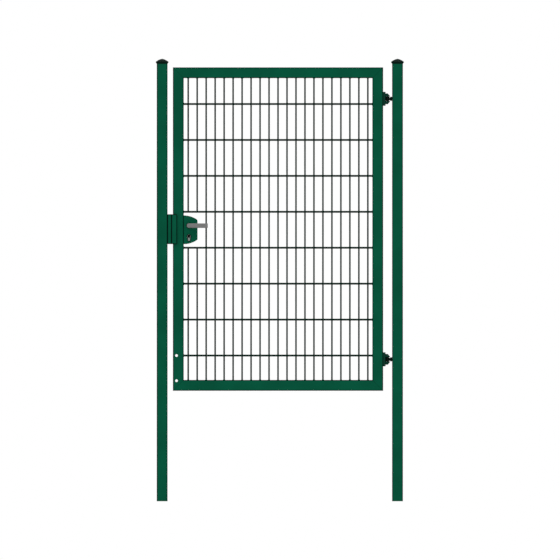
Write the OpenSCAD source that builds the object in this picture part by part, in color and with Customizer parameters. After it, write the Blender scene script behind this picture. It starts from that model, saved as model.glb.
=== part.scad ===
// Single-leaf garden gate: a welded frame of square-edged steel tube, filled
// with a double-wire mesh panel, hung between two square posts.
//
// Frame of reference: +Z up, +X to the right seen from the front, front = -Y.
// The origin is the middle of the hinge post's foot. The leaf runs from there
// towards -X, and its middle plane, like the posts', is y = 0.

/* [Leaf] */
// Width of the leaf over its frame
leaf_w = 1170; // [800:10:1500]
// Height of the leaf over its frame
leaf_h = 1800; // [1400:10:2200]
// Height of the leaf's lower edge above the feet of the posts
leaf_bottom = 615; // [400:5:900]
// Face width of the frame tube
frame_face = 60; // [50:1:72]
// Depth of the frame tube, front to back
frame_depth = 40; // [36:1:42]
// Wall thickness of the frame tube
frame_wall = 2; // [1.5:0.1:3]
// Outer corner radius of the frame tube
frame_corner = 3.5; // [3.2:0.1:5]

/* [Posts] */
// Width of the square posts
post_w = 60; // [50:1:100]
// Wall thickness of the posts
post_wall = 3; // [2:0.5:4]
// Outer corner radius of the posts
post_corner = 4.5; // [4.2:0.1:6]
// How far the post tubes stand above the leaf
post_rise = 20; // [10:5:100]
// How far a cap's widest line stands out past its post
cap_lip = 5.5; // [2:0.5:6]
// Height of a cap above its post tube
cap_h = 28; // [20:1:40]
// Depth of the cap's plug inside its post
cap_plug_h = 26; // [15:1:40]
// Wall thickness of the moulded caps
cap_wall = 2.5; // [2:0.5:4]

/* [Mesh] */
// Diameter of the upright wires
wire_v_d = 9; // [5:0.5:9]
// Diameter of the lying wires, which come in pairs
wire_h_d = 11; // [6:0.5:11]
// Spacing of the upright wires
mesh_pitch_x = 50; // [40:5:60]
// Spacing of the lying wires
mesh_pitch_z = 200; // [180:5:220]
// Height of the lowest lying wires above the bottom rail
mesh_margin = 136; // [60:1:160]
// How deep the weld presses two crossing wires into each other
weld_sink = 0.5; // [0.3:0.1:1]

/* [Lock] */
// Mesh bay that holds the lock, counted from the bottom pair of lying wires
lock_bay = 4; // [3:1:4]
// Width of the lock case, from the stile inwards
lock_w = 77; // [74:1:95]
// Height of the lock case
lock_h = 160; // [150:1:170]
// Depth of the lock case, front to back
lock_depth = 40; // [34:1:44]
// Wall thickness of the lock case
lock_wall = 3; // [2:0.5:4]
// Radius of the case's swept top and bottom edges
lock_sweep = 131; // [120:1:160]
// Radius of the case's upper corner
lock_corner_top = 14; // [8:1:20]
// Radius of the case's lower corner
lock_corner_low = 4; // [3.5:0.5:10]
// Chamfer round the case's front and back
lock_edge = 1.5; // [0.5:0.5:1.5]
// Distance of the spindle and the cylinder from the stile
backset = 29.5; // [29:0.5:36]
// Height of the spindle above the middle of the case
spindle_rise = 23; // [18:0.5:30]
// Distance from the spindle down to the cylinder's round part
cylinder_drop = 60; // [56:0.5:62]
// Length of the profile cylinder
cylinder_len = 54; // [50:1:70]

/* [Handles] */
// Reach of a lever from its spindle to its free end
lever_len = 104.5; // [85:0.5:125]
// Height of the lever's grip
grip_h = 25.5; // [21:0.5:27]
// Thickness of the lever's grip
grip_t = 12; // [9:0.5:16]
// Distance from the case to the far side of the grip
lever_stand = 50; // [40:1:65]
// How far the grip's free end turns back towards the case, from its far side
lever_return = 24; // [17:1:30]
// Diameter of the lever's neck
neck_d = 20; // [16:0.5:20.6]
// Side of the square spindle
spindle_side = 8; // [7:0.5:10]

/* [Keeper] */
// Clear gap between the latch post and the leaf
latch_gap = 30; // [28:1:40]
// Width of the keeper's box section, which stands in that gap
keeper_w = 21.5; // [18:0.5:23]
// Height of the keeper
keeper_h = 166; // [150:1:190]
// How far the keeper's middle lies above the lock's
keeper_shift = 3.5; // [-5:0.5:8]
// Width of the keeper's stop lip, in front of the leaf
lip_w = 30.5; // [26:0.5:40]
// Thickness of the stop lip
lip_t = 6; // [5:0.5:9]
// Width of the groove between the box section and the stop lip
groove_w = 2; // [1:0.5:4]
// Depth of that groove
groove_t = 2.5; // [1:0.5:3]
// Wall thickness of the keeper's box section
keeper_wall = 3; // [2:0.5:4]
// Air between the stop lip and the leaf
stop_gap = 5; // [4:0.5:10]

/* [Hinges] */
// Clear gap between the hinge post and the leaf
hinge_gap = 50; // [48:1:60]
// Distance of the hinge axis from the hinge post
axis_gap = 26; // [25:0.5:27]
// Distance of each hinge from the leaf's end
hinge_inset = 175; // [120:5:300]
// Height of a hinge's flange
flange_h = 78; // [72:1:110]
// Thickness of a hinge's flange
flange_t = 12; // [8:0.5:12]
// Height of the two cheeks together, where they leave the flange
cheek_h = 60; // [54:1:68]
// Diameter of the hinge pin
pin_d = 10; // [8:0.5:12]
// Radius of the cheeks' nose round the pin
nose_r = 14; // [12:0.5:15]
// Diameter of the eye round the pin
eye_d = 20; // [18:0.5:20]
// Height of the eye
eye_h = 24; // [23:0.5:26]
// Diameter of the eye bolt's shank
shank_d = 12; // [10:0.5:14]
// Width across the flats of the eye bolt's collar
collar_af = 20; // [17:0.5:20]

/* [Drop bolt] */
// Distance of the drop-bolt holes from the leaf's free edge
drop_inset = 20; // [15:1:35]
// Height of the lower hole above the leaf's lower edge
drop_low = 56; // [40:1:80]
// Distance between the two holes
drop_pitch = 140; // [100:5:180]
// Diameter of the holes
drop_d = 15; // [10:0.5:16]

/* [Hidden] */
$fn = 48;

// Clearances
run_gap = 0.05;    // a pin or neck that turns in its bore, each side
seat_gap = 0.3;    // parts that slide past or sit in each other, each side
rubber_gap = 0.1;  // the buffer in its keyway, each side
past = 1;          // a cutter's overrun past the face that it cuts

// Places of the leaf
leaf_right = -(post_w / 2 + hinge_gap);
leaf_left = leaf_right - leaf_w;
leaf_top = leaf_bottom + leaf_h;
in_left = leaf_left + frame_face;
in_right = leaf_right - frame_face;
in_bottom = leaf_bottom + frame_face;
in_top = leaf_top - frame_face;

// Places and fixed sizes of the posts
post_h = leaf_top + post_rise;
latch_face = leaf_left - latch_gap;
latch_post_x = latch_face - post_w / 2;
cap_seat = 0.5;            // how far a cap's foot stands out past its post
cap_plug_corner = 2;
cap_hollow = 0.3;          // share of the cap's height that its hollow rises
rim_low = 0.32;            // shares of the cap's height and half width: its rim
rim_high = 0.40;
bend_x = 0.70;             // first bend of the arched sides
bend_z = 0.67;
top_bend_x = 0.36;         // second bend
top_bend_z = 0.88;

// Mesh: wires are bars of few sides with the section of the round wire
v_sides = 6;
h_sides = 8;
function equal_r(d, n) = d / 2 * sqrt(2 * PI / (n * sin(360 / n)));
function half_flat(d, n) = equal_r(d, n) * cos(180 / n);
row_y = half_flat(wire_v_d, v_sides) + half_flat(wire_h_d, h_sides) - weld_sink;
cols = floor((in_right - in_left) / mesh_pitch_x);
first_col = (in_left + in_right - (cols - 1) * mesh_pitch_x) / 2;
first_row = in_bottom + mesh_margin;
top_margin = 50;
rows = floor((in_top - top_margin - first_row) / mesh_pitch_z) + 1;
row_low = first_row + (lock_bay - 1) * mesh_pitch_z;
row_high = row_low + mesh_pitch_z;
wire_room = 20;    // least distance from the lock case to an upright wire

// Lock
lock_z = (row_low + row_high) / 2;
lock_x = in_left + backset;
spindle_z = lock_z + spindle_rise;
cylinder_z = spindle_z - cylinder_drop;
latch_size = [12, 20];     // section of the latch bolt, y and z
dead_size = [12, 26];      // section of the dead bolt, y and z
nose_flat = 3;             // width of the latch bolt's nose
nose_share = 0.75;         // length of its bevel as a share of the bolt's depth
latch_end = 18;            // how far the latch bolt reaches into the case
dead_end = 15;             // how far the dead bolt reaches into the case
screw_d = 8;
screw_head_d = 13;
screw_head_h = 3.5;        // low, to pass the keeper by 5 mm
screw_spread = 126;        // distance between the two long screws
hex_share = 0.72;          // a socket's radius as a share of its screw's
boss_d = 14;
boss_wall = 2;             // what a boss has past its screw's end
boss_room = 2;             // air between a boss and the cylinder
barrel_d = 17;             // round part of the profile cylinder
web_w = 10;                // width of its lower part
barrel_h = 33;             // its whole height
screw_end = backset - web_w / 2 - boss_room - boss_wall;
plug_d = 13;
plug_gap = 5;              // half the cam's slot between the two plugs
plug_proud = 0.5;          // how far a plug stands out of its cylinder
key_slot = [2.4, 9];
key_stop = 3;              // what a plug has past the end of its keyway
escutcheon_rim = 4;
escutcheon_t = 4;
collar_t = 4;
collar_rim = 5;
socket_depth = 24;         // how far the spindle reaches into a lever
tip_r = 2.5;               // corner radius of a lever's free end
grip_round = 4;            // rounding along a grip

// Keeper
keeper_front = -(frame_depth / 2 + stop_gap + lip_t);
keeper_back = frame_depth / 2;
keeper_cap_t = 4;
keeper_cap_plug = 8;       // depth of its plug inside the box section
keeper_corner = 5;
lip_round = 0.4;           // the lip's edge radius as a share of its thickness
keeper_z = lock_z + keeper_shift - keeper_h / 2;
buffer_w = 12;
buffer_key = [5, 2.5];
buffer_inset = 12;         // from the keeper's ends to the buffer's
buffer_air = 0.5;          // air between the buffer and the leaf
buffer_lip = 1;            // step of the buffer's softened edges
buffer_x = (latch_gap + keeper_w + lip_w) / 2;
bolt_room = 2;             // air round a bolt in the keeper's slots

// Hinges
axis_x = -(post_w / 2 + axis_gap);
eye_from_leaf = hinge_gap - axis_gap;
slot_h = eye_h + 2 * seat_gap;
eye_room = 0.8;            // air round the eye in its saddle
cheek_root = 16;           // half the cheeks' depth where they leave the flange
cheek_tip_h = 32;          // height of both cheeks at the nose
cheek_taper = 12;          // how far back from the nose they start to narrow
flange_inset = 2;          // from the stile's front and back to the flange's
flange_corner = 6;
pin_len = 52;
collar_room = 1.5;         // air between the nose and the eye bolt's collar
collar_from_axis = nose_r + collar_room;
collar_len = axis_gap - collar_from_axis - seat_gap;
waist_in = 1.5;            // how far the bolt's waist stands in from the collar's flats
bush_d = 24;
bush_len = 28;             // length of the bush, from the post's face inwards
bolt_end = 2;              // what the bush has past the bolt's end

// Half the saddle's depth: at a quarter turn it clears the bolt's waist by eye_room
waist_r = collar_af / 2 - waist_in;
saddle_half = sqrt(pow(eye_d / 2 + eye_room, 2) - pow(waist_r + eye_room, 2));

// ---------------------------------------------------------------- helpers

module rounded_rect(w, d, r) {
    square([w - 2 * r, d], center = true);
    square([w, d - 2 * r], center = true);
    for (sx = [-1, 1], sy = [-1, 1])
        translate([sx * (w / 2 - r), sy * (d / 2 - r)]) circle(r);
}

module tube_section(w, d, wall, r) {
    difference() {
        rounded_rect(w, d, r);
        rounded_rect(w - 2 * wall, d - 2 * wall, r - wall);
    }
}

// Draws a flat shape of the x-z plane and gives it a depth from y0 to y1
module from_front(y0, y1) {
    translate([0, y1, 0]) rotate([90, 0, 0]) linear_extrude(y1 - y0) children();
}

// A round bar or bore along +X from x0 to x1
module along_x(x0, x1, r) {
    translate([x0, 0, 0]) rotate([0, 90, 0]) cylinder(h = x1 - x0, r = r);
}

// A round bar or bore along +Y from y0 to y1
module along_y(y0, y1, r) {
    translate([0, y1, 0]) rotate([90, 0, 0]) cylinder(h = y1 - y0, r = r);
}

// ------------------------------------------------------------------ posts

module post_tube() {
    linear_extrude(post_h) tube_section(post_w, post_w, post_wall, post_corner);
}

module hinge_post() {
    color("#02503a") difference() {
        union() {
            post_tube();
            for (z = [hinge_z(0), hinge_z(1)]) translate([0, 0, z])
                along_x(-post_w / 2 + past, -post_w / 2 + bush_len, bush_d / 2);
        }
        for (z = [hinge_z(0), hinge_z(1)]) translate([0, 0, z])
            along_x(-post_w / 2 - past, -post_w / 2 + bush_len + past, shank_d / 2 + run_gap);
    }
}

module latch_post() {
    color("#02503a") translate([latch_post_x, 0, 0]) post_tube();
}

// Half the outline of an arched pyramid on an outward-leaning rim
function cap_side(foot, rim) = [
    [foot, 0],
    [rim, cap_h * rim_low],
    [rim, cap_h * rim_high],
    [rim * bend_x, cap_h * bend_z],
    [rim * top_bend_x, cap_h * top_bend_z],
    [0, cap_h]
];
function mirrored(pts) = [for (i = [len(pts) - 2:-1:0]) [-pts[i][0], pts[i][1]]];

module cap_form() {
    foot = post_w / 2 + cap_seat;
    rim = foot + cap_lip;
    side = cap_side(foot, rim);
    outline = concat(side, mirrored(side));
    intersection() {
        from_front(-rim - past, rim + past) polygon(outline);
        rotate([0, 0, 90]) from_front(-rim - past, rim + past) polygon(outline);
    }
}

module post_cap() {
    plug = post_w - 2 * post_wall - 2 * seat_gap;
    hollow = plug - 2 * cap_wall;
    color("#10201b") difference() {
        union() {
            cap_form();
            translate([0, 0, -cap_plug_h]) linear_extrude(cap_plug_h + past)
                rounded_rect(plug, plug, cap_plug_corner);
        }
        translate([0, 0, -cap_plug_h - past])
            linear_extrude(cap_plug_h + past + cap_h * cap_hollow)
            rounded_rect(hollow, hollow, cap_plug_corner / 2);
    }
}

module hinge_post_cap() {
    translate([0, 0, post_h]) post_cap();
}

module latch_post_cap() {
    translate([latch_post_x, 0, post_h]) post_cap();
}

// ------------------------------------------------------------- leaf frame

// A frame tube along +X, its outer face down at z = 0, mitred at both ends
module frame_member(length) {
    intersection() {
        translate([-past, 0, frame_face / 2]) rotate([90, 0, 90])
            linear_extrude(length + 2 * past)
            tube_section(frame_depth, frame_face, frame_wall, frame_corner);
        from_front(-frame_depth, frame_depth) polygon([
            [-past, -past],
            [length + past, -past],
            [length - frame_face - past, frame_face + past],
            [frame_face + past, frame_face + past]
        ]);
    }
}

module bottom_rail() {
    color("#02503a") translate([leaf_left, 0, leaf_bottom]) frame_member(leaf_w);
}

module top_rail() {
    color("#02503a") translate([leaf_right, 0, leaf_top])
        rotate([0, 180, 0]) frame_member(leaf_w);
}

module hinge_stile() {
    color("#02503a") translate([leaf_right, 0, leaf_bottom])
        rotate([0, -90, 0]) frame_member(leaf_h);
}

module latch_stile() {
    color("#02503a") difference() {
        translate([leaf_left, 0, leaf_top]) rotate([0, 90, 0]) frame_member(leaf_h);
        for (dz = [0, drop_pitch])
            translate([leaf_left + drop_inset, 0, leaf_bottom + drop_low + dz])
                along_y(-frame_depth, frame_depth, drop_d / 2);
        translate([in_left, 0, lock_z]) {
            lock_passages(-frame_face - past, past);
            for (s = [-1, 1]) translate([0, 0, s * screw_spread / 2])
                along_x(-frame_face - past, past, screw_d / 2 + seat_gap);
        }
    }
}

// ------------------------------------------------------------------- mesh

module upright_wire(x, z0, z1) {
    translate([x, 0, z0]) cylinder(h = z1 - z0, r = equal_r(wire_v_d, v_sides), $fn = v_sides);
}

module lying_wire(y, z) {
    translate([in_left, y, z]) rotate([0, 90, 0]) rotate([0, 0, 180 / h_sides])
        cylinder(h = in_right - in_left, r = equal_r(wire_h_d, h_sides), $fn = h_sides);
}

module mesh_panel() {
    stub = wire_h_d / 2;
    color("#063f30") union() {
        for (i = [0:cols - 1]) {
            x = first_col + i * mesh_pitch_x;
            if (x - in_left < lock_w + wire_room) {
                upright_wire(x, in_bottom, row_low + stub);
                upright_wire(x, row_high - stub, in_top);
            } else {
                upright_wire(x, in_bottom, in_top);
            }
        }
        for (k = [0:rows - 1], side = [-1, 1])
            lying_wire(side * row_y, first_row + k * mesh_pitch_z);
    }
}

// ------------------------------------------------------------------- lock

// Points of an arc round (cx, cz)
function arc(cx, cz, r, a0, a1, n) =
    [for (i = [0:n]) let (a = a0 + (a1 - a0) * i / n) [cx + r * cos(a), cz + r * sin(a)]];

// The swept quarter of the case: from the stile out along the big arc, round
// the corner of radius r, down to half height. inset shrinks it evenly.
function case_quarter(r, inset) =
    let (big = lock_sweep - inset, small = r - inset, cz = lock_h / 2 - lock_sweep,
         x1 = lock_w - r, z1 = cz + sqrt(pow(lock_sweep - r, 2) - x1 * x1),
         a = atan2(z1 - cz, x1))
    concat(arc(0, cz, big, acos(inset / big), a, 12), arc(x1, z1, small, a, 0, 8));

function flip(pts) = [for (i = [len(pts) - 1:-1:0]) [pts[i][0], -pts[i][1]]];

// The D-shaped outline of the lock case, its straight side on the stile
module case_outline(inset) {
    polygon(concat(case_quarter(lock_corner_top, inset), flip(case_quarter(lock_corner_low, inset))));
}

// The round part with its web below, grown by rim
module cylinder_outline(rim) {
    low = barrel_h - barrel_d / 2 - web_w / 2;
    circle(barrel_d / 2 + rim);
    translate([-web_w / 2 - rim, -low]) square([web_w + 2 * rim, low]);
    translate([0, -low]) circle(web_w / 2 + rim);
}

// The holes for the two bolts, through everything from x0 to x1
module lock_passages(x0, x1) {
    for (b = [[latch_size, spindle_z], [dead_size, cylinder_z]])
        translate([x0, -b[0][0] / 2 - seat_gap, b[1] - lock_z - b[0][1] / 2 - seat_gap])
            cube([x1 - x0, b[0][0] + 2 * seat_gap, b[0][1] + 2 * seat_gap]);
}

// The holes in one side of the case, for a lever's neck and the cylinder
module side_passages(y0, y1) {
    translate([backset, 0, spindle_rise]) along_y(y0, y1, neck_d / 2 + run_gap);
    translate([backset, 0, spindle_rise - cylinder_drop])
        from_front(y0, y1) cylinder_outline(seat_gap);
}

module lock_case() {
    half = lock_depth / 2;
    color("#04503b") translate([in_left, 0, lock_z]) difference() {
        union() {
            difference() {
                hull() {
                    from_front(-half + lock_wall, half - lock_edge) case_outline(0);
                    from_front(-half + lock_wall, half) case_outline(lock_edge);
                }
                from_front(-half, half - lock_wall) case_outline(lock_wall);
            }
            intersection() {
                for (s = [-1, 1]) translate([0, 0, s * screw_spread / 2])
                    along_x(past, screw_end + boss_wall, boss_d / 2);
                from_front(-half + lock_wall, half - past) case_outline(past);
            }
        }
        lock_passages(-past, lock_wall + past);
        side_passages(half - lock_wall - past, half + past);
        for (s = [-1, 1]) translate([0, 0, s * screw_spread / 2])
            along_x(-past, screw_end, screw_d / 2 + run_gap);
    }
}

module lock_cover() {
    half = lock_depth / 2;
    color("#04503b") translate([in_left, 0, lock_z]) difference() {
        hull() {
            from_front(-half + lock_edge, -half + lock_wall) case_outline(0);
            from_front(-half, -half + lock_wall) case_outline(lock_edge);
        }
        side_passages(-half - past, -half + lock_wall + past);
    }
}

// Two long screws that pull the case against the stile
module lock_screws() {
    color("#9a9c9e") translate([in_left, 0, lock_z])
        for (s = [-1, 1]) translate([0, 0, s * screw_spread / 2]) {
            along_x(-frame_face, screw_end - past, screw_d / 2);
            difference() {
                along_x(-frame_face - screw_head_h, -frame_face, screw_head_d / 2);
                translate([-frame_face - screw_head_h - past, 0, 0]) rotate([0, 90, 0])
                    cylinder(h = past + screw_head_h / 2, r = screw_d / 2 * hex_share, $fn = 6);
            }
        }
}

// The latch bolt, drawn back; its nose is bevelled on the side that meets the keeper
module latch_bolt() {
    nose = latch_size[0] * nose_share;
    color("#b9bbbd") translate([leaf_left, 0, spindle_z - latch_size[1] / 2])
        linear_extrude(latch_size[1]) polygon([
            [0, latch_size[0] / 2],
            [0, latch_size[0] / 2 - nose_flat],
            [nose, -latch_size[0] / 2],
            [frame_face + latch_end, -latch_size[0] / 2],
            [frame_face + latch_end, latch_size[0] / 2]
        ]);
}

// The dead bolt, drawn back
module dead_bolt() {
    color("#b9bbbd") translate([leaf_left, -dead_size[0] / 2, cylinder_z - dead_size[1] / 2])
        cube([frame_face + dead_end, dead_size[0], dead_size[1]]);
}

module cylinder_body() {
    half = cylinder_len / 2;
    color("#a9a8a2") translate([lock_x, 0, cylinder_z]) difference() {
        from_front(-half, half) cylinder_outline(0);
        along_y(-half - past, -plug_gap, plug_d / 2 + run_gap);
        along_y(plug_gap, half + past, plug_d / 2 + run_gap);
    }
}

module cylinder_plug() {
    half = cylinder_len / 2;
    color("#3a3c3e") difference() {
        along_y(-half - plug_proud, -plug_gap - seat_gap, plug_d / 2);
        translate([-key_slot[0] / 2, -half - past, -key_slot[1] / 2])
            cube([key_slot[0], half - plug_gap - key_stop, key_slot[1]]);
    }
}

module cylinder_plug_front() {
    translate([lock_x, 0, cylinder_z]) cylinder_plug();
}

module cylinder_plug_back() {
    translate([lock_x, 0, cylinder_z]) mirror([0, 1, 0]) cylinder_plug();
}

module escutcheon() {
    face = -lock_depth / 2;
    color("#151a19") difference() {
        from_front(face - escutcheon_t, face) cylinder_outline(escutcheon_rim);
        from_front(face - escutcheon_t - past, face + past) cylinder_outline(seat_gap);
    }
}

module escutcheon_front() {
    translate([lock_x, 0, cylinder_z]) escutcheon();
}

module escutcheon_back() {
    translate([lock_x, 0, cylinder_z]) mirror([0, 1, 0]) escutcheon();
}

// ---------------------------------------------------------------- handles

module collar() {
    face = -lock_depth / 2;
    color("#151a19") difference() {
        along_y(face - collar_t, face, neck_d / 2 + collar_rim);
        along_y(face - collar_t - past, face + past, neck_d / 2 + seat_gap);
    }
}

module collar_front() {
    translate([lock_x, 0, spindle_z]) collar();
}

module collar_back() {
    translate([lock_x, 0, spindle_z]) mirror([0, 1, 0]) collar();
}

module spindle() {
    reach = lock_depth / 2 - lock_wall + socket_depth - past;
    color("#8d8f91") translate([lock_x, 0, spindle_z])
        cube([spindle_side, 2 * reach, spindle_side], center = true);
}

// A bar along +X from x0 to x1, with depth from y = 0 and rounded long edges
module grip_bar(x0, x1, depth) {
    translate([x0, depth / 2, 0]) rotate([90, 0, 90]) linear_extrude(x1 - x0)
        rounded_rect(depth, grip_h, grip_round);
}

// The grip seen from the front, round where it turns on its neck
module grip_face() {
    circle(grip_h / 2);
    translate([0, -grip_h / 2]) square([lever_len - tip_r, grip_h]);
    translate([lever_len - grip_t / 2, 0]) rounded_rect(grip_t, grip_h, tip_r);
}

// The grip seen from above, its free end turned back towards the case
module grip_plan() {
    start = -grip_h / 2;
    translate([(lever_len + start) / 2, grip_t / 2])
        rounded_rect(lever_len - start, grip_t, grip_round);
    translate([lever_len - grip_t / 2, lever_return / 2])
        rounded_rect(grip_t, lever_return, grip_round);
}

// Grip of a lever, its far side in the plane y = 0
module grip() {
    intersection() {
        from_front(0, lever_return) grip_face();
        translate([0, 0, -grip_h]) linear_extrude(2 * grip_h) grip_plan();
        union() {
            grip_bar(-grip_h / 2, lever_len, grip_t);
            grip_bar(lever_len - grip_t, lever_len, lever_return);
        }
    }
}

// The front lever: a neck that turns in the case, and the grip across its end
module lever() {
    inner = -lock_depth / 2 + lock_wall;
    outer = -lock_depth / 2 - lever_stand;
    side = spindle_side + 2 * run_gap;
    color("#9a9596") difference() {
        union() {
            along_y(outer + grip_t / 2, inner, neck_d / 2);
            translate([0, outer, 0]) grip();
        }
        translate([-side / 2, inner - socket_depth, -side / 2])
            cube([side, socket_depth + past, side]);
    }
}

module lever_front() {
    translate([lock_x, 0, spindle_z]) lever();
}

module lever_back() {
    translate([lock_x, 0, spindle_z]) mirror([0, 1, 0]) lever();
}

// ----------------------------------------------------------------- keeper

// The stop lip, with the groove between it and the box
module lip_section() {
    plate = lip_w - groove_w;
    translate([keeper_w - keeper_corner, keeper_front + groove_t])
        square([keeper_corner + lip_w / 2, lip_t - groove_t]);
    translate([keeper_w + groove_w + plate / 2, keeper_front + lip_t / 2])
        rounded_rect(plate, lip_t, lip_t * lip_round);
}

// Section of the keeper: a box that stands on the post, with the stop lip
module keeper_section() {
    depth = keeper_back - keeper_front;
    mid = (keeper_back + keeper_front) / 2;
    difference() {
        union() {
            translate([keeper_w / 2, mid]) rounded_rect(keeper_w, depth, keeper_corner);
            translate([0, keeper_front + keeper_corner])
                square([keeper_corner, depth - keeper_corner]);
            lip_section();
        }
        translate([keeper_w / 2, mid]) rounded_rect(keeper_w - 2 * keeper_wall,
            depth - 2 * keeper_wall, keeper_corner - keeper_wall);
        translate([buffer_x - buffer_key[0] / 2, keeper_front + lip_t - buffer_key[1]])
            square([buffer_key[0], buffer_key[1] + past]);
    }
}

module keeper() {
    color("#04523c") translate([latch_face, 0, 0]) difference() {
        translate([0, 0, keeper_z + keeper_cap_t]) linear_extrude(keeper_h - 2 * keeper_cap_t)
            keeper_section();
        for (b = [[latch_size, spindle_z], [dead_size, cylinder_z]])
            translate([keeper_w - keeper_wall - past, -b[0][0] / 2 - bolt_room,
                       b[1] - b[0][1] / 2 - bolt_room])
                cube([keeper_wall + 2 * past, b[0][0] + 2 * bolt_room, b[0][1] + 2 * bolt_room]);
    }
}

// Rubber strip that the leaf shuts against, keyed into the stop lip
module keeper_buffer() {
    back = keeper_front + lip_t;
    stand = stop_gap - buffer_air;
    key = [buffer_key[0] - 2 * rubber_gap, buffer_key[1] - rubber_gap];
    color("#1b1c1c") translate([latch_face + buffer_x, back, keeper_z + buffer_inset])
        linear_extrude(keeper_h - 2 * buffer_inset) {
            translate([-buffer_w / 2, 0]) square([buffer_w, stand - buffer_lip]);
            translate([-buffer_w / 2 + buffer_lip, 0]) square([buffer_w - 2 * buffer_lip, stand]);
            translate([-key[0] / 2, -key[1]]) square([key[0], key[1] + buffer_lip]);
        }
}

// End cap over the keeper's box and lip, with its plug pointing up from z = 0
module keeper_cap() {
    depth = keeper_back - keeper_front;
    mid = (keeper_back + keeper_front) / 2;
    shrink = 2 * keeper_wall + 2 * seat_gap;
    color("#10201b") translate([latch_face, 0, 0]) {
        linear_extrude(keeper_cap_t) {
            translate([keeper_w / 2, mid]) rounded_rect(keeper_w, depth, keeper_corner);
            lip_section();
        }
        translate([keeper_w / 2, mid]) linear_extrude(keeper_cap_t + keeper_cap_plug)
            rounded_rect(keeper_w - shrink, depth - shrink, keeper_corner - keeper_wall - seat_gap);
    }
}

module keeper_cap_bottom() {
    translate([0, 0, keeper_z]) keeper_cap();
}

module keeper_cap_top() {
    translate([0, 0, keeper_z + keeper_h]) mirror([0, 0, 1]) keeper_cap();
}

// ----------------------------------------------------------------- hinges

function hinge_z(i) = i == 0 ? leaf_bottom + hinge_inset : leaf_top - hinge_inset;

// Where a line from (x, y) touches a circle of radius r round the origin
function touch_angle(x, y, r) = atan2(y, x) - acos(r / norm([x, y]));

// Fork bracket on the stile: a flange with two tapering cheeks for the pin
module bracket() {
    cheek_x = eye_from_leaf - flange_t;
    a = touch_angle(-cheek_x, cheek_root, nose_r);
    tx = nose_r * cos(a);
    ty = nose_r * sin(a);
    color("#131f1b") translate([axis_x, 0, 0]) difference() {
        union() {
            translate([-eye_from_leaf, 0, 0]) rotate([0, 90, 0])
                linear_extrude(flange_t)
                rounded_rect(flange_h, frame_depth - 2 * flange_inset, flange_corner);
            intersection() {
                translate([0, 0, -cheek_h]) linear_extrude(2 * cheek_h) {
                    polygon([[-cheek_x - past, cheek_root], [-cheek_x, cheek_root], [tx, ty],
                             [tx, -ty], [-cheek_x, -cheek_root], [-cheek_x - past, -cheek_root]]);
                    circle(nose_r);
                }
                from_front(-frame_depth, frame_depth) polygon([
                    [-cheek_x - past, cheek_h / 2],
                    [nose_r - cheek_taper, cheek_h / 2],
                    [nose_r, cheek_tip_h / 2],
                    [nose_r, -cheek_tip_h / 2],
                    [nose_r - cheek_taper, -cheek_h / 2],
                    [-cheek_x - past, -cheek_h / 2]
                ]);
            }
        }
        difference() {
            translate([-cheek_x, -frame_depth, -slot_h / 2])
                cube([cheek_x + nose_r + past, 2 * frame_depth, slot_h]);
            saddle();
        }
        cylinder(h = cheek_h + 2 * past, r = pin_d / 2 + run_gap, center = true);
    }
}

// The web that joins the two cheeks behind the eye, hollowed to its round
module saddle() {
    cheek_x = eye_from_leaf - flange_t;
    difference() {
        translate([-cheek_x - past, -saddle_half, -slot_h / 2 - past])
            cube([cheek_x + past, 2 * saddle_half, slot_h + 2 * past]);
        cylinder(h = slot_h + 4 * past, r = eye_d / 2 + eye_room, center = true);
    }
}

module hinge_pin() {
    color("#8d8f91") translate([axis_x, 0, 0]) cylinder(h = pin_len, d = pin_d, center = true);
}

// Eye bolt: the eye on the pin, a six-sided collar and the shank in the post
module eye_bolt() {
    shank_end = axis_gap + bush_len - bolt_end;
    color("#131f1b") translate([axis_x, 0, 0]) difference() {
        union() {
            cylinder(h = eye_h, d = eye_d, center = true);
            along_x(eye_d / 4, shank_end, shank_d / 2);
            along_x(eye_d / 4, collar_from_axis, waist_r);
            translate([collar_from_axis, 0, 0]) rotate([0, 90, 0])
                cylinder(h = collar_len, r = collar_af / 2 / cos(30), $fn = 6);
        }
        cylinder(h = eye_h + 2 * past, r = pin_d / 2 + run_gap, center = true);
    }
}

module upper_bracket() {
    translate([0, 0, hinge_z(1)]) bracket();
}

module upper_pin() {
    translate([0, 0, hinge_z(1)]) hinge_pin();
}

module upper_eye_bolt() {
    translate([0, 0, hinge_z(1)]) eye_bolt();
}

module lower_bracket() {
    translate([0, 0, hinge_z(0)]) bracket();
}

module lower_pin() {
    translate([0, 0, hinge_z(0)]) hinge_pin();
}

module lower_eye_bolt() {
    translate([0, 0, hinge_z(0)]) eye_bolt();
}

// --------------------------------------------------------------- assembly

hinge_post();
latch_post();
hinge_post_cap();
latch_post_cap();
top_rail();
bottom_rail();
hinge_stile();
latch_stile();
mesh_panel();
lock_case();
lock_cover();
lock_screws();
latch_bolt();
dead_bolt();
cylinder_body();
cylinder_plug_front();
cylinder_plug_back();
escutcheon_front();
escutcheon_back();
collar_front();
collar_back();
spindle();
lever_front();
lever_back();
keeper();
keeper_buffer();
keeper_cap_top();
keeper_cap_bottom();
upper_bracket();
upper_pin();
upper_eye_bolt();
lower_bracket();
lower_pin();
lower_eye_bolt();
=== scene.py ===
# %% [markdown]
# # A garden gate of square tube and double wires
# A single leaf of welded tube hangs between two square posts. The finished construction model
# holds its shapes and its two joints, the swing of the leaf and the turn of the levers. This
# script gives that model its finish: powder coat, moulded plastic, aluminium and bright steel,
# round wires with their weld spots, and the small fastenings that a maker would expect to see.
# Everything is in metres. Z is up, the front of the gate looks towards -Y, and the origin is
# the middle of the hinge post's foot.

# %% Load the construction model
import math
import random

import bmesh
import bpy
from mathutils import Matrix, Vector


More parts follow.
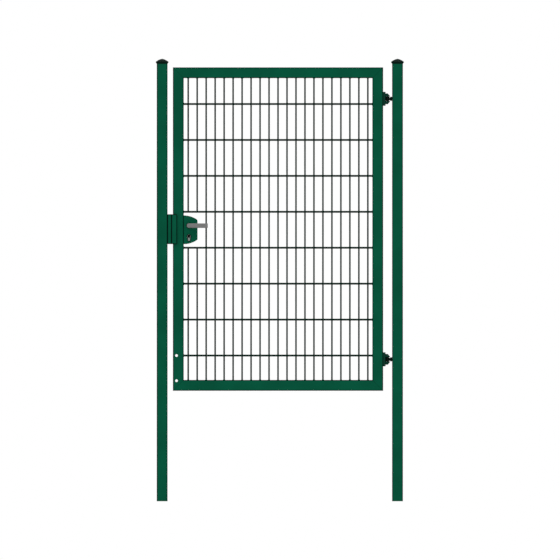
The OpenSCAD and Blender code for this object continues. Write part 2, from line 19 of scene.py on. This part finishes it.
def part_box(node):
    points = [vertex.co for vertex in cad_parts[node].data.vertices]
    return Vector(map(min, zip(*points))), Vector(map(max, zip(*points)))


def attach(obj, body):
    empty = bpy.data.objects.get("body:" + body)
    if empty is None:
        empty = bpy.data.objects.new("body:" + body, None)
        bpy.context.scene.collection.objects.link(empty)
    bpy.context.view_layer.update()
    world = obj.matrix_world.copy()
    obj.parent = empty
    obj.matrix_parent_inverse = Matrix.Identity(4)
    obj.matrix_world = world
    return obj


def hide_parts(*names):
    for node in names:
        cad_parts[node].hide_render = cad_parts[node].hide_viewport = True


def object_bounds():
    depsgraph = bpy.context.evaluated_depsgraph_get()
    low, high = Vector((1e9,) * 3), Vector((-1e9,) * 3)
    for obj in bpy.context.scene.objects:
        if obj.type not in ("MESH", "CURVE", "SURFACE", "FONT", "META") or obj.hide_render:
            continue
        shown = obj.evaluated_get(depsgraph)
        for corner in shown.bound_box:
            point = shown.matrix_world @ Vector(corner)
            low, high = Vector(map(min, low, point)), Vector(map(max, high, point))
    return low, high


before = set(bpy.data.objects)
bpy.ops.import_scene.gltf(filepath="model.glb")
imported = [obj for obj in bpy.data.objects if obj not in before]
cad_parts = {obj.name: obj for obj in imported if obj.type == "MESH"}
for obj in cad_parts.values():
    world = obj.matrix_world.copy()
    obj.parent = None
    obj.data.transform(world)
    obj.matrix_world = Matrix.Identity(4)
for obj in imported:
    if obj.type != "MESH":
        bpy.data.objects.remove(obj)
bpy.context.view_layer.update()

# %% [markdown]
# ## Places and sizes
# Places are measured and not typed in. The model's own boxes say where the mesh, the hinges and
# the lock are, so a piece made here lands where the construction has room for it. Only sizes
# that no box can tell, such as the spacing of the wires, are written down, in millimetres,
# because that is the unit of a workshop.

# %% Boxes of the mesh and of the whole gate
MM = 0.001
mesh_low, mesh_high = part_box("mesh_panel")
whole_low, whole_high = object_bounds()
gate_middle = (whole_low + whole_high) / 2
print("leaf opening, mm:", [round(v / MM) for v in mesh_high - mesh_low])
print("whole gate, mm:", [round(v / MM) for v in whole_high - whole_low])

# %% [markdown]
# ## Starting a finish
# In Blender a finish is a material: a small network of nodes that ends in a shader. The
# Principled shader covers paint, plastic and metal alike. The helpers here only save typing.
# Values that are the same all over a surface are written on the shader itself, and only what
# really varies, such as colour blotches or fine bumps, comes through nodes. A noise texture
# keeps mostly to the middle of its range, so two spans are named here for stretching it.

# %% Starting a finish
finishes = {}
noise_span = (0.3, 0.7)
middle_span = (0.35, 0.65)


def start_finish(name, roughness, metallic=0.0, specular=0.5):
    material = bpy.data.materials.new(name)
    material.use_nodes = True
    nodes = material.node_tree.nodes
    nodes.clear()
    output = nodes.new("ShaderNodeOutputMaterial")
    shader = nodes.new("ShaderNodeBsdfPrincipled")
    shader.inputs["Roughness"].default_value = roughness
    shader.inputs["Metallic"].default_value = metallic
    shader.inputs["Specular IOR Level"].default_value = specular
    material.node_tree.links.new(shader.outputs["BSDF"], output.inputs["Surface"])
    finishes[name] = material
    return material.node_tree, shader


def object_place(tree, stretch=(1, 1, 1)):
    place = tree.nodes.new("ShaderNodeTexCoord").outputs["Object"]
    if tuple(stretch) == (1, 1, 1):
        return place
    mapping = tree.nodes.new("ShaderNodeMapping")
    mapping.inputs["Scale"].default_value = stretch
    tree.links.new(place, mapping.inputs["Vector"])
    return mapping.outputs["Vector"]


print("noise is stretched from", noise_span, "or", middle_span)


# %% Textures, ranges and mixes
def noise(tree, place, cell, detail=2.0):
    texture = tree.nodes.new("ShaderNodeTexNoise")
    texture.inputs["Scale"].default_value = 1 / cell
    texture.inputs["Detail"].default_value = detail
    tree.links.new(place, texture.inputs["Vector"])
    return texture.outputs[0]


def fitted(tree, value, low, high, to_low, to_high, smooth=False):
    node = tree.nodes.new("ShaderNodeMapRange")
    node.interpolation_type = "SMOOTHSTEP" if smooth else "LINEAR"
    limits = {"From Min": low, "From Max": high, "To Min": to_low, "To Max": to_high}
    for name, number in limits.items():
        node.inputs[name].default_value = number
    tree.links.new(value, node.inputs["Value"])
    return node.outputs["Result"]


def maths(tree, operation, first, second=None):
    node = tree.nodes.new("ShaderNodeMath")
    node.operation = operation
    for socket, given in zip(node.inputs, (first, second)):
        if given is None:
            continue
        if isinstance(given, (int, float)):
            socket.default_value = given
        else:
            tree.links.new(given, socket)
    return node.outputs[0]


def blended(tree, share, first, second):
    node = tree.nodes.new("ShaderNodeMix")
    node.data_type = "RGBA"
    factor, a, b = node.inputs[0], node.inputs[6], node.inputs[7]
    tree.links.new(share, factor)
    for socket, given in ((a, first), (b, second)):
        if isinstance(given, tuple):
            socket.default_value = (*given, 1)
        else:
            tree.links.new(given, socket)
    return node.outputs[2]


def bumps(tree, shader, height, depth, strength=1.0):
    node = tree.nodes.new("ShaderNodeBump")
    node.inputs["Strength"].default_value = strength
    node.inputs["Distance"].default_value = depth
    tree.links.new(height, node.inputs["Height"])
    tree.links.new(node.outputs["Normal"], shader.inputs["Normal"])


def scaled(colour, share):
    return tuple(c * share for c in colour)


print("finish helpers ready")

# %% [markdown]
# ## Painted shade on the edges of a coated piece
# Powder coat is a dry paint that is baked on, and it runs a little thin on edges. The dark band
# along every edge here is painted shade, far darker than a thin coat would make it: it stands in
# for the shade on a rounded corner, so that every edge reads as a line, as in a maker's drawing.
# Two ways find an edge. For a straight tube the distance to the nearest corner line follows from
# the position alone, and it ignores the mitre where two tubes are welded flush. For a case or a
# casting the Bevel node gives the normal of a rounded copy, and where it differs from the true
# one there is an edge.

# %% Painted shade on edges of tubes and castings
bevel_samples = 6
sure_edge = 0.80
no_edge = 0.99


def tube_edge_shade(tree, node_name, long_axis, near, far):
    low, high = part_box(node_name)
    split = tree.nodes.new("ShaderNodeSeparateXYZ")
    tree.links.new(object_place(tree), split.inputs[0])
    to_side = []
    for axis in range(3):
        if axis == long_axis:
            continue
        middle = (low[axis] + high[axis]) / 2
        half = (high[axis] - low[axis]) / 2
        off_middle = maths(tree, "ABSOLUTE", maths(tree, "SUBTRACT", split.outputs[axis], middle))
        to_side.append(maths(tree, "SUBTRACT", half, off_middle))
    to_corner = maths(tree, "MAXIMUM", *to_side)
    return fitted(tree, to_corner, near, far, 1, 0, smooth=True)


def cast_edge_shade(tree, radius):
    rounded = tree.nodes.new("ShaderNodeBevel")
    rounded.samples = bevel_samples
    rounded.inputs["Radius"].default_value = radius
    true_surface = tree.nodes.new("ShaderNodeNewGeometry")
    compare = tree.nodes.new("ShaderNodeVectorMath")
    compare.operation = "DOT_PRODUCT"
    tree.links.new(rounded.outputs["Normal"], compare.inputs[0])
    tree.links.new(true_surface.outputs["True Normal"], compare.inputs[1])
    return fitted(tree, compare.outputs["Value"], sure_edge, no_edge, 1, 0, smooth=True)


print("an edge is sure below", sure_edge)

# %% [markdown]
# ## Lines placed by measure
# Some lines are placed by measure and not found from the shape. Upright lines are painted shade,
# given by their distance from a piece's left side: a dark line where a side or a groove falls into
# shade. The mitres of the leaf are ground flat before coating and stay just visible, as a line on
# the diagonal of each corner: there a point is as far in from the side as from the top or the
# bottom.

# %% Upright lines and mitres
seam_core = 0.4


def upright_shade_lines(tree, node_name, offsets, near, far):
    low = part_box(node_name)[0]
    split = tree.nodes.new("ShaderNodeSeparateXYZ")
    tree.links.new(object_place(tree), split.inputs[0])
    nearest = None
    for offset in offsets:
        past_line = maths(tree, "SUBTRACT", split.outputs[0], low.x + offset)
        distance = maths(tree, "ABSOLUTE", past_line)
        nearest = distance if nearest is None else maths(tree, "MINIMUM", nearest, distance)
    return fitted(tree, nearest, near, far, 1, 0, smooth=True)


def mitre_seam(tree, width):
    low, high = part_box("hinge_stile")
    left_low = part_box("latch_stile")[0]
    split = tree.nodes.new("ShaderNodeSeparateXYZ")
    tree.links.new(object_place(tree), split.inputs[0])
    in_from_side = []
    for axis, first, last in ((0, left_low.x, high.x), (2, low.z, high.z)):
        middle, half = (first + last) / 2, (last - first) / 2
        off_middle = maths(tree, "ABSOLUTE", maths(tree, "SUBTRACT", split.outputs[axis], middle))
        in_from_side.append(maths(tree, "SUBTRACT", half, off_middle))
    from_diagonal = maths(tree, "ABSOLUTE", maths(tree, "SUBTRACT", *in_from_side))
    return fitted(tree, from_diagonal, seam_core * width, width, 1, 0, smooth=True)


print("a seam is full over", seam_core, "of its width")

# %% [markdown]
# ## Powder coat
# The coat has four things to see up close: a very fine orange peel, slow drifts in tone where the
# powder lay thicker, patches that shine a little more, and painted shade along the edges. Each is
# one noise texture or one edge finder. The sheen is kept low, because a silk-matt coat shows
# hardly any mirror image on its flat sides.

# %% Powder coat
peel_cell = 2.2 * MM
peel_depth = 0.05 * MM
peel_strength = 0.5
drift_cell = 180 * MM
drift_share = 0.10
gloss_cell = 9 * MM
coat_sheen = 0.03
coat_roughness = 0.42
smoother = 0.05
rougher = 0.07
seam_width = 1.6 * MM
seam_shade = 0.45


def powder_coat(name, colour, edge_shade_colour=None, edge_shade_finder=None,
                roughness=coat_roughness, seam=False):
    tree, shader = start_finish(name, roughness, specular=coat_sheen)
    place = object_place(tree)
    drift = fitted(tree, noise(tree, place, drift_cell, detail=3), *middle_span, 0, 1)
    tone = blended(tree, drift, scaled(colour, 1 - drift_share), scaled(colour, 1 + drift_share))
    if seam:
        tone = blended(tree, mitre_seam(tree, seam_width), tone, scaled(colour, seam_shade))
    # Painted shade: where the edge finder finds an edge, the tone turns to the edge's dark colour.
    if edge_shade_finder:
        tone = blended(tree, edge_shade_finder(tree), tone, edge_shade_colour)
    tree.links.new(tone, shader.inputs["Base Color"])
    gloss = noise(tree, place, gloss_cell)
    gloss = fitted(tree, gloss, *noise_span, roughness - smoother, roughness + rougher)
    tree.links.new(gloss, shader.inputs["Roughness"])
    bumps(tree, shader, noise(tree, place, peel_cell), peel_depth, peel_strength)
    return finishes[name]


moss_green = (0.0008, 0.079, 0.0395)
# The next colour is painted shade along the tubes' edges, full within the near distance and gone at
# the far one.
moss_edge_shade = (0.0008, 0.013, 0.008)
edge_shade_near = 2.5 * MM
edge_shade_far = 6.5 * MM
tubes = {
    "hinge_post": 2, "latch_post": 2,
    "hinge_stile": 2, "latch_stile": 2,
    "top_rail": 0, "bottom_rail": 0,
}
for tube, long_axis in tubes.items():
    coat = powder_coat(
        "coat_" + tube, moss_green, moss_edge_shade,
        lambda tree, t=tube, a=long_axis: tube_edge_shade(tree, t, a, edge_shade_near, edge_shade_far),
        seam=not tube.endswith("post"))
    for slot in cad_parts[tube].material_slots:
        slot.material = coat
print("coated tubes:", len(tubes))

# %% [markdown]
# ## The lock, the keeper and the hinges
# The lock is a die casting and its keeper an extrusion, both in the green of the frame. The
# hinges are thick steel in a green that is nearly black. Each gets painted shade along its edges.
# Castings and brackets have curves, so the Bevel node finds their edges. The keeper is straight,
# so its two sides and the groove between its box and its lip are three upright lines of painted
# shade.

# %% Coats of the lock, keeper and hinges
def dress(node_names, material):
    for node_name in node_names:
        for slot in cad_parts[node_name].material_slots:
            slot.material = material


night_green = (0.0040, 0.038, 0.025)
# The two edge colours below are painted shade along the edges of the hinges, the keeper and the eye
# bolts.
night_edge_shade = (0.0005, 0.0050, 0.0032)
bolt_black = (0.0030, 0.0075, 0.0060)
bolt_edge_shade = (0.0008, 0.0020, 0.0015)
lock_edge_w = 5 * MM
hinge_edge_w = 3 * MM
bolt_edge_w = 2 * MM
keeper_groove = 22.5 * MM
line_near = 2.2 * MM
line_far = 4.2 * MM

keeper_low, keeper_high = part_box("keeper")
keeper_shade_lines = (0, keeper_groove, keeper_high.x - keeper_low.x)
lock_coat = powder_coat(
    "coat_lock", moss_green, moss_edge_shade, lambda tree: cast_edge_shade(tree, lock_edge_w))
keeper_coat = powder_coat(
    "coat_keeper", moss_green, night_edge_shade,
    lambda tree: upright_shade_lines(tree, "keeper", keeper_shade_lines, line_near, line_far))
hinge_coat = powder_coat(
    "coat_hinge", night_green, night_edge_shade, lambda tree: cast_edge_shade(tree, hinge_edge_w))
bolt_coat = powder_coat(
    "coat_eye_bolt", bolt_black, bolt_edge_shade, lambda tree: cast_edge_shade(tree, bolt_edge_w))
dress(["lock_case", "lock_cover"], lock_coat)
dress(["keeper"], keeper_coat)
dress(["upper_bracket", "lower_bracket"], hinge_coat)
dress(["upper_eye_bolt", "lower_eye_bolt"], bolt_coat)
print("coats:", len(finishes))

# %% [markdown]
# ## Moulded plastic and rubber
# The post caps, the keeper's end caps and the rings round the cylinder and the levers are nearly
# black polyamide with a spark-eroded grain. The strip that the leaf shuts against is soft
# rubber. Both are matt. What tells them apart is the grain: fine on the plastic, coarser and
# shallower on the rubber. One noise texture gives both the relief and a painted highlight: the
# high spots of the grain are painted paler.

# %% Moulded plastic and rubber
moulded_sheen = 0.03
grain_span = (0.4, 0.7)
grain_strength = 0.6
ridge_highlight_gain = 1.5
ridge_highlight_lift = 0.0003


def moulded(name, colour, roughness, grain_cell, grain_depth):
    tree, shader = start_finish(name, roughness, specular=moulded_sheen)
    place = object_place(tree)
    grain = noise(tree, place, grain_cell, detail=4)
    # Painted highlight: the high spots of the grain get this paler tone.
    light = tuple(c * ridge_highlight_gain + ridge_highlight_lift for c in colour)
    tone = blended(tree, fitted(tree, grain, *grain_span, 0, 1), colour, light)
    tree.links.new(tone, shader.inputs["Base Color"])
    bumps(tree, shader, grain, grain_depth, grain_strength)
    return finishes[name]


cap_green = (0.0010, 0.0075, 0.0050)
trim_green = (0.0008, 0.0030, 0.0022)
rubber_black = (0.010, 0.011, 0.011)
cap_plastic = moulded(
    "plastic_cap", cap_green, roughness=0.55, grain_cell=0.9 * MM, grain_depth=0.06 * MM)
trim_plastic = moulded(
    "plastic_trim", trim_green, roughness=0.45, grain_cell=0.7 * MM, grain_depth=0.04 * MM)
rubber = moulded(
    "rubber_buffer", rubber_black, roughness=0.75, grain_cell=3 * MM, grain_depth=0.03 * MM)
dress(["hinge_post_cap", "latch_post_cap", "keeper_cap_top", "keeper_cap_bottom"], cap_plastic)
dress(["escutcheon_front", "escutcheon_back", "collar_front", "collar_back"], trim_plastic)
dress(["keeper_buffer"], rubber)
print("finishes with plastic and rubber:", len(finishes))

# %% [markdown]
# ## Metals
# The levers are anodised aluminium, brushed along the grip. The bolts, pins and long screws are
# bright stainless steel, and the screws of the hinges are blackened. The lock's cylinder is
# nickel plated. Keys and fingers have blackened its plugs and the round part about them, and
# only the web below still shines. A brushed surface is a noise stretched along the brushing,
# which varies the tone, the roughness and the relief.

# %% Metals
shade_left = 0.12
round_part = 17 * MM
fade_below = 1 * MM
fade_above = 2 * MM
brush_change = 0.08
brush_depth = 0.02 * MM
brush_strength = 0.4
lever_edge_w = 3 * MM


def above_web(tree):
    web_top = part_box("cylinder_body")[1].z - round_part
    split = tree.nodes.new("ShaderNodeSeparateXYZ")
    tree.links.new(object_place(tree), split.inputs[0])
    height = split.outputs[2]
    return fitted(tree, height, web_top - fade_below, web_top + fade_above, 0, 1, smooth=True)


def brushed(name, light, dark, roughness, stretch, cell, shade_finder=None):
    tree, shader = start_finish(name, roughness, metallic=1.0)
    place = object_place(tree, stretch)
    lines = noise(tree, place, cell, detail=3)
    tone = blended(tree, fitted(tree, lines, *middle_span, 0, 1), dark, light)
    if shade_finder:
        tone = blended(tree, shade_finder(tree), tone, scaled(dark, shade_left))
    tree.links.new(tone, shader.inputs["Base Color"])
    sheen = fitted(tree, lines, *noise_span, roughness - brush_change, roughness + brush_change)
    tree.links.new(sheen, shader.inputs["Roughness"])
    bumps(tree, shader, lines, brush_depth, brush_strength)
    return finishes[name]


print("brush relief, mm:", round(brush_depth / MM, 3))

# %% One finish for each metal
# The lever's darker edges are painted shade, found by the Bevel node.
lever_metal = brushed(
    "aluminium_lever", light=(0.205, 0.204, 0.202), dark=(0.160, 0.158, 0.157), roughness=0.42,
    stretch=(0.02, 1, 1), cell=0.8 * MM, shade_finder=lambda tree: cast_edge_shade(tree, lever_edge_w))
bright_steel = brushed(
    "steel_bright", light=(0.46, 0.47, 0.48), dark=(0.36, 0.37, 0.38), roughness=0.34,
    stretch=(1, 1, 0.3), cell=1.5 * MM)
nickel = brushed(
    "nickel_cylinder", light=(0.22, 0.25, 0.23), dark=(0.16, 0.19, 0.17), roughness=0.34,
    stretch=(1, 0.2, 1), cell=1.0 * MM, shade_finder=above_web)
black_screw = brushed(
    "steel_blackened", light=(0.060, 0.064, 0.062), dark=(0.035, 0.038, 0.036), roughness=0.36,
    stretch=(1, 1, 1), cell=1.2 * MM)
plug_metal = brushed(
    "metal_plug", light=(0.006, 0.008, 0.008), dark=(0.003, 0.004, 0.004), roughness=0.38,
    stretch=(1, 1, 1), cell=0.8 * MM)
dress(["lever_front", "lever_back"], lever_metal)
dress(["latch_bolt", "dead_bolt", "lock_screws", "spindle", "upper_pin", "lower_pin"], bright_steel)
dress(["cylinder_body"], nickel)
dress(["cylinder_plug_front", "cylinder_plug_back"], plug_metal)
print("finishes:", len(finishes))

# %% [markdown]
# ## Building with bmesh
# The fine pieces are made of rings of points joined by faces. A bar is four rings, two at each
# end with a small chamfer between them, and a weld bead is a stack of rings that narrows towards
# the wire. Many of them go into one mesh, because a welded mat is one piece and one mesh renders
# faster than hundreds.

# %% Rings, turned shapes and bars
def add_ring(bm, centre, across, up, radius, sides):
    ring = []
    for i in range(sides):
        a = 2 * math.pi * i / sides
        beside = centre + across * (radius * math.cos(a))
        ring.append(bm.verts.new(beside + up * (radius * math.sin(a))))
    return ring


def join_rings(bm, first, second):
    count = len(first)
    for i in range(count):
        j = (i + 1) % count
        bm.faces.new((first[i], first[j], second[j], second[i]))


def frame_of(direction):
    along = direction.normalized()
    across = along.orthogonal().normalized()
    return along, across, along.cross(across)


def add_turned(bm, start, direction, profile, sides):
    """A closed turned shape: profile is a list of (distance along direction, radius)."""
    along, across, up = frame_of(direction)
    rings = [add_ring(bm, start + along * d, across, up, r, sides) for d, r in profile]
    for first, second in zip(rings, rings[1:]):
        join_rings(bm, first, second)
    bm.faces.new(list(reversed(rings[0])))
    bm.faces.new(rings[-1])


def add_bar(bm, start, end, radius, chamfer, sides):
    length = (end - start).length
    add_turned(bm, start, end - start, [
        (0, radius - chamfer), (chamfer, radius),
        (length - chamfer, radius), (length, radius - chamfer)], sides)


print("ring and bar helpers ready")

# %% Finished meshes and softened copies
weld_distance = 0.002 * MM
flat_angle = math.radians(0.5)
sharp_angle = math.radians(30)
smooth_angle = math.radians(35)


def finish_mesh(bm, name, material, body):
    bmesh.ops.recalc_face_normals(bm, faces=bm.faces)
    mesh = bpy.data.meshes.new(name)
    bm.to_mesh(mesh)
    bm.free()
    mesh.materials.append(material)
    mesh.shade_smooth()
    mesh.set_sharp_from_angle(angle=smooth_angle)
    piece = bpy.data.objects.new(name, mesh)
    bpy.context.scene.collection.objects.link(piece)
    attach(piece, body)
    print(name, "triangles:", sum(len(p.vertices) - 2 for p in mesh.polygons))
    return piece


def softened(node_name, width, material, body):
    """A copy of a construction piece with its sharp edges rounded, which stands in for it."""
    bm = bmesh.new()
    bm.from_mesh(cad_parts[node_name].data)
    bmesh.ops.remove_doubles(bm, verts=bm.verts, dist=weld_distance)
    bmesh.ops.dissolve_limit(bm, angle_limit=flat_angle, verts=bm.verts, edges=bm.edges)
    sharp = [e for e in bm.edges if e.is_manifold and e.calc_face_angle() > sharp_angle]
    bmesh.ops.bevel(
        bm, geom=sharp, offset=width, segments=2, profile=0.5, affect="EDGES", clamp_overlap=True)
    bmesh.ops.triangulate(bm, faces=[f for f in bm.faces if len(f.verts) > 4])
    piece = finish_mesh(bm, node_name + "_softened", material, body)
    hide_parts(node_name)


print("edges over", round(math.degrees(sharp_angle)), "degrees are softened")

# %% [markdown]
# ## The double-wire mat
# Each upright wire runs between two lying wires, and a press welds every crossing in one
# stroke, so the wires sink a little into each other and a flat spot of metal squeezes out. Round
# wires catch the light along a soft line, which bars of few sides can't do, so this mat stands
# in for the plain one of the construction. The two uprights that would cross the lock stop at
# the rows below and above it.

# %% Places of the wires
upright_d = 9 * MM
lying_d = 11 * MM
upright_step = 50 * MM
row_step = 200 * MM
lowest_row = 136 * MM
row_count = 8
lock_rows = (3, 4)
weld_sink = 0.5 * MM
cut_uprights = 2
rounding_room = 1e-6

lying_y = upright_d / 2 + lying_d / 2 - weld_sink
upright_count = int((mesh_high.x - mesh_low.x) / upright_step + rounding_room)
first_x = (mesh_low.x + mesh_high.x - (upright_count - 1) * upright_step) / 2
upright_x = [first_x + i * upright_step for i in range(upright_count)]
row_z = [mesh_low.z + lowest_row + k * row_step for k in range(row_count)]
print("uprights:", upright_count, "rows:", row_count)

# %% Wires and their weld spots
chamfer = 0.6 * MM
upright_sides = 16
lying_sides = 20
spot_seed = 5
spot_r = 3.6 * MM
spot_least = 0.92
spot_most = 1.08
spot_half_t = 1.1 * MM
spot_sink = 0.3 * MM


def wire_mat():
    bm = bmesh.new()
    for i, x in enumerate(upright_x):
        spans = [(mesh_low.z, mesh_high.z)]
        if i < cut_uprights:
            below, above = (row_z[k] for k in lock_rows)
            spans = [(mesh_low.z, below + lying_d / 2), (above - lying_d / 2, mesh_high.z)]
        for z0, z1 in spans:
            low, high = Vector((x, 0, z0)), Vector((x, 0, z1))
            add_bar(bm, low, high, upright_d / 2, chamfer, upright_sides)
    for z in row_z:
        for side in (-1, 1):
            y = side * lying_y
            left, right = Vector((mesh_low.x, y, z)), Vector((mesh_high.x, y, z))
            add_bar(bm, left, right, lying_d / 2, chamfer, lying_sides)
    return bm


def add_weld_spots(bm):
    chance = random.Random(spot_seed)
    for x in upright_x:
        for z in row_z:
            for side in (-1, 1):
                size = spot_r * chance.uniform(spot_least, spot_most)
                place = Vector((x, side * (upright_d / 2 - spot_sink), z))
                shape = Matrix.Translation(place) @ Matrix.Diagonal((size, spot_half_t, size, 1))
                bmesh.ops.create_icosphere(bm, subdivisions=2, radius=1, matrix=shape)


wire_green = (0.002, 0.014, 0.009)
wire_coat = powder_coat("coat_wires", wire_green, roughness=0.45)
mat = wire_mat()
add_weld_spots(mat)
wire_piece = finish_mesh(mat, "welded_wire_mat", wire_coat, "leaf")
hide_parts("mesh_panel")

# %% [markdown]
# ## Beads where the wires meet the frame
# Inside the frame each wire end is welded to the tube with one short bead. A bead is a low
# fillet round the wire. Each one is a little bigger or smaller than its neighbour, from a
# random number with a fixed seed, so that the row looks welded by hand and yet comes out the
# same every time.

# %% Weld beads
bead_seed = 11
bead_size = 2.4 * MM
bead_least = 0.8
bead_most = 1.2
bead_sides = 16
bead_foot = 0.2 * MM
bead_shoulder = [(0.25, 0.92), (0.62, 0.62), (0.92, 0.25)]
bead_top = 1.1
bead_in_wire = 0.3 * MM


def add_bead(bm, place, into_leaf, wire_radius, chance):
    size = bead_size * chance.uniform(bead_least, bead_most)
    profile = [(-bead_foot, wire_radius + size)]
    profile += [(up * size, wire_radius + out * size) for up, out in bead_shoulder]
    profile.append((bead_top * size, wire_radius - bead_in_wire))
    add_turned(bm, place, into_leaf, profile, bead_sides)


def wire_beads():
    bm = bmesh.new()
    chance = random.Random(bead_seed)
    up, right = Vector((0, 0, 1)), Vector((1, 0, 0))
    for x in upright_x:
        add_bead(bm, Vector((x, 0, mesh_low.z)), up, upright_d / 2, chance)
        add_bead(bm, Vector((x, 0, mesh_high.z)), -up, upright_d / 2, chance)
    for z in row_z:
        for side in (-1, 1):
            add_bead(bm, Vector((mesh_low.x, side * lying_y, z)), right, lying_d / 2, chance)
            add_bead(bm, Vector((mesh_high.x, side * lying_y, z)), -right, lying_d / 2, chance)
    return bm


bead_green = (0.001, 0.050, 0.027)
bead_coat = powder_coat("coat_beads", bead_green)
finish_mesh(wire_beads(), "wire_end_beads", bead_coat, "leaf")

# %% [markdown]
# ## Brackets with broken edges
# The hinge brackets are cut from thick plate, and a grinder takes the sharpness off every edge
# before the coat goes on. The construction leaves the edges sharp. A copy of each bracket is
# cleaned of its flat seams and gets a narrow bevel on each sharp edge, which catches the light.

# %% Softened brackets
bracket_round = 0.9 * MM
for hinge in ("upper", "lower"):
    softened(hinge + "_bracket", bracket_round, hinge_coat, "leaf")

# %% [markdown]
# ## Screws of the hinge flanges
# Each hinge bracket is held to the stile by four button-head screws, two above and two below
# its cheeks. A button head is a low dome with a socket for the key. Dome and socket are one
# turned profile, so the socket is round here, where a real one has six sides. The last dome ring
# runs in past the socket's wall, so the surface folds there. Four rings would avoid that.

# %% Button-head screws
flange_t = 12 * MM
screw_r = 3.9 * MM
screw_dome = 2.2 * MM
screw_foot = 0.2 * MM
screw_sides = 24
dome_rings = 6
dome_start = 15
dome_step = 12
socket_r = 1.7 * MM
socket_rim = 1.05
socket_floor = 0.5 * MM
screw_up = 34.5 * MM
screw_side = 9 * MM


def add_button_screw(bm, place, outward):
    dome = [(-screw_foot, screw_r)]
    for k in range(dome_rings):
        a = math.radians(dome_start + dome_step * k)
        dome.append((screw_dome * math.sin(a), screw_r * math.cos(a)))
    dome.append((screw_dome, socket_r * socket_rim))
    dome.append((screw_dome, socket_r))
    dome.append((socket_floor, socket_r))
    add_turned(bm, place, outward, dome, screw_sides)


def flange_screws(bracket):
    low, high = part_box(bracket)
    face_x = low.x + flange_t
    middle = (low.z + high.z) / 2
    bm = bmesh.new()
    for sz in (-1, 1):
        for sy in (-1, 1):
            place = Vector((face_x, sy * screw_side, middle + sz * screw_up))
            add_button_screw(bm, place, Vector((1, 0, 0)))
    return bm


for bracket in ("upper_bracket", "lower_bracket"):
    screws_name = bracket.replace("bracket", "flange_screws")
    finish_mesh(flange_screws(bracket), screws_name, black_screw, "leaf")

# %% [markdown]
# ## Studio
# The gate stands on a pale floor under soft, even light. The world gives most of it, and three
# broad suns give shapes a light and a shaded side. What the camera sees past the gate is plain
# white, and so is what metal mirrors, while the light on the gate stays at a plain level: a
# grey of one half that faces the camera is rendered as about one half.

# %% Floor
floor_reach = 30.0
floor_drop = 0.5 * MM
speckle_cell = 40 * MM
floor_dark = (0.88, 0.88, 0.88)
floor_light = (0.90, 0.90, 0.90)
bm = bmesh.new()
bmesh.ops.create_grid(bm, x_segments=1, y_segments=1, size=floor_reach)
floor_mesh = bpy.data.meshes.new("studio_floor")
bm.to_mesh(floor_mesh)
bm.free()
floor = bpy.data.objects.new("studio_floor", floor_mesh)
floor.location = (gate_middle.x, 0, whole_low.z - floor_drop)
bpy.context.scene.collection.objects.link(floor)
tree, shader = start_finish("floor_pale", 0.8, specular=0.1)
speckle = fitted(
    tree, noise(tree, object_place(tree), speckle_cell, detail=3), *noise_span, 0, 1)
floor_tone = blended(tree, speckle, floor_dark, floor_light)
tree.links.new(floor_tone, shader.inputs["Base Color"])
floor_mesh.materials.append(finishes["floor_pale"])
print("floor reaches", floor_reach, "m")

# %% World
sky_strength = 0.72
backdrop_strength = 1.0
world = bpy.data.worlds.new("studio_world")
bpy.context.scene.world = world
world.use_nodes = True
tree = world.node_tree
tree.nodes.clear()
output = tree.nodes.new("ShaderNodeOutputWorld")
path = tree.nodes.new("ShaderNodeLightPath")
lighting = tree.nodes.new("ShaderNodeBackground")
lighting.inputs["Strength"].default_value = sky_strength
backdrop = tree.nodes.new("ShaderNodeBackground")
for node in (lighting, backdrop):
    node.inputs["Color"].default_value = (1, 1, 1, 1)
backdrop.inputs["Strength"].default_value = backdrop_strength
seen = maths(tree, "MAXIMUM", path.outputs["Is Camera Ray"], path.outputs["Is Glossy Ray"])
seen = maths(tree, "MAXIMUM", seen, path.outputs["Is Transmission Ray"])
mix = tree.nodes.new("ShaderNodeMixShader")
tree.links.new(seen, mix.inputs[0])
tree.links.new(lighting.outputs[0], mix.inputs[1])
tree.links.new(backdrop.outputs[0], mix.inputs[2])
tree.links.new(mix.outputs[0], output.inputs["Surface"])
print("sky strength", sky_strength)

# %% Suns
sun_distance = 8.0


def soft_sun(name, compass, height, strength, softness):
    """A sun at compass degrees from the front towards the right, and at height degrees."""
    lamp = bpy.data.lights.new(name, "SUN")
    lamp.energy = strength
    lamp.angle = math.radians(softness)
    holder = bpy.data.objects.new(name, lamp)
    around, up = math.radians(compass), math.radians(height)
    level = math.cos(up)
    towards = Vector((math.sin(around) * level, -math.cos(around) * level, math.sin(up)))
    holder.location = gate_middle + sun_distance * towards
    holder.rotation_euler = towards.to_track_quat("Z", "Y").to_euler()
    bpy.context.scene.collection.objects.link(holder)


soft_sun("sun_front", compass=-35, height=45, strength=0.75, softness=50)
soft_sun("sun_right", compass=80, height=35, strength=0.35, softness=50)
soft_sun("sun_back", compass=200, height=45, strength=0.60, softness=50)
print("suns:", sum(1 for lamp in bpy.data.lights if lamp.type == "SUN"))

# %% [markdown]
# ## Camera
# The gate is shown as in a maker's drawing: straight from the front, with no perspective, so
# that both posts stay upright and every wire keeps its spacing. An orthographic camera does
# that. Its scale is the height of the sheet, a good quarter more than the gate is high.

# %% Camera
sheet_size = 3.117
side_shift = 1 * MM
camera_distance = 9.0
far_limit = 100
camera_data = bpy.data.cameras.new("front_view")
camera_data.type = "ORTHO"
camera_data.ortho_scale = sheet_size
camera_data.clip_end = far_limit
camera = bpy.data.objects.new("front_view", camera_data)
camera.location = (gate_middle.x + side_shift, -camera_distance, gate_middle.z)
camera.rotation_euler = (math.radians(90), 0, 0)
bpy.context.scene.collection.objects.link(camera)
bpy.context.scene.camera = camera
bpy.context.scene.view_settings.view_transform = "Standard"
print("camera looks along +Y, sheet of", sheet_size, "m")
